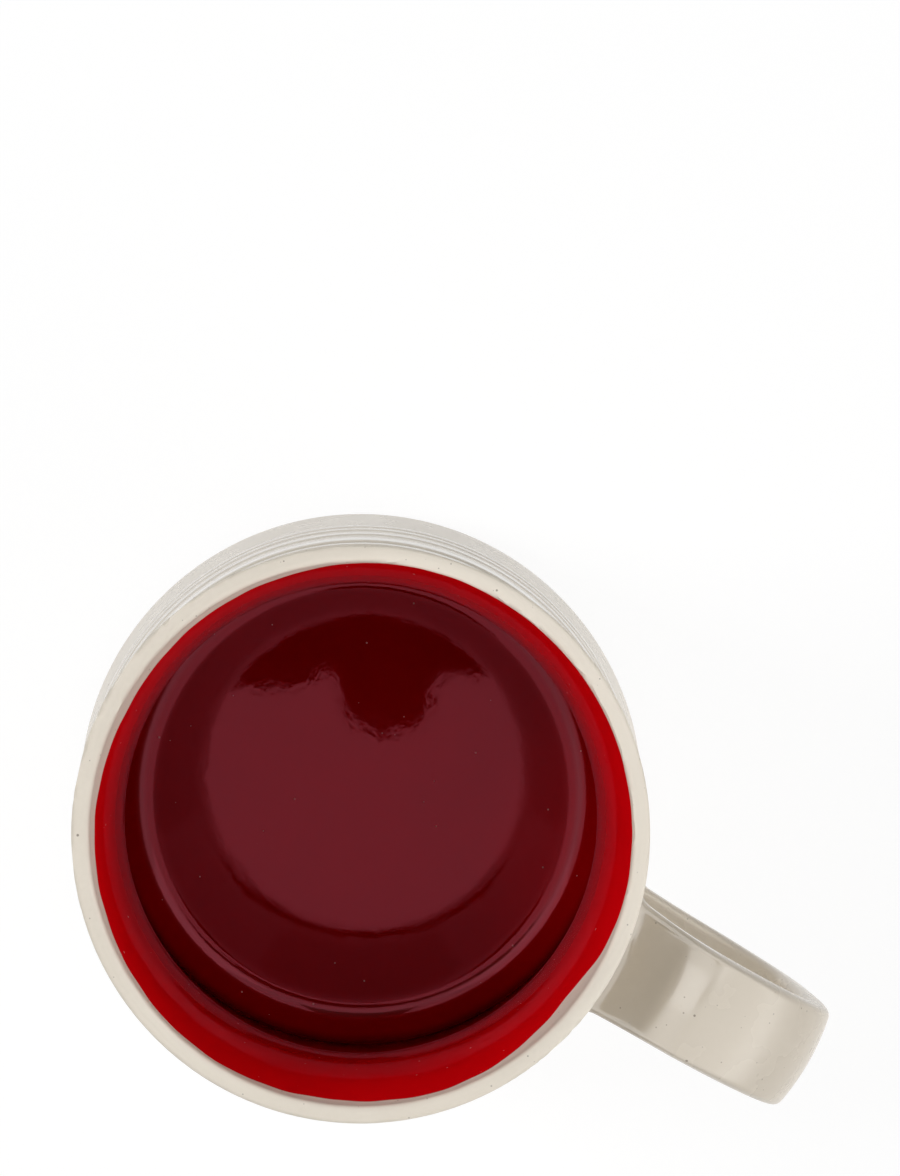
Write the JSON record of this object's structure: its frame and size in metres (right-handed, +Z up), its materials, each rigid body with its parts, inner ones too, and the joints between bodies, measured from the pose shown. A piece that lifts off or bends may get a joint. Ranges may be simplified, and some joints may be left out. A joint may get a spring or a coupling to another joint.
{
  "type": "stoneware mug",
  "caption": "Hand-thrown stoneware mug with a waisted wall, a flared lip and a wide strap handle, cream outside and red inside.",
  "frame": {"origin": "middle of the foot's flat land, on the surface the mug stands on and on the cup's upright axis", "axes": "+Z up along the cup's axis, +X towards the handle, and +Y to the left of the handle seen from the cup"},
  "size_m": [0.1324, 0.0982, 0.116],
  "materials": {
    "bare_clay": "matte",
    "cream_glaze": "gloss",
    "red_glaze": "gloss"
  },
  "bodies": {
    "root": {"thrown_body": "bare_clay", "handle_strap": "bare_clay", "upper_handle_joint": "bare_clay", "lower_handle_joint": "bare_clay", "cream_glaze_coat": "cream_glaze", "handle_glaze": "cream_glaze", "foot_recess_glaze": "cream_glaze", "red_glaze_lining": "red_glaze"}
  },
  "joints": []
}
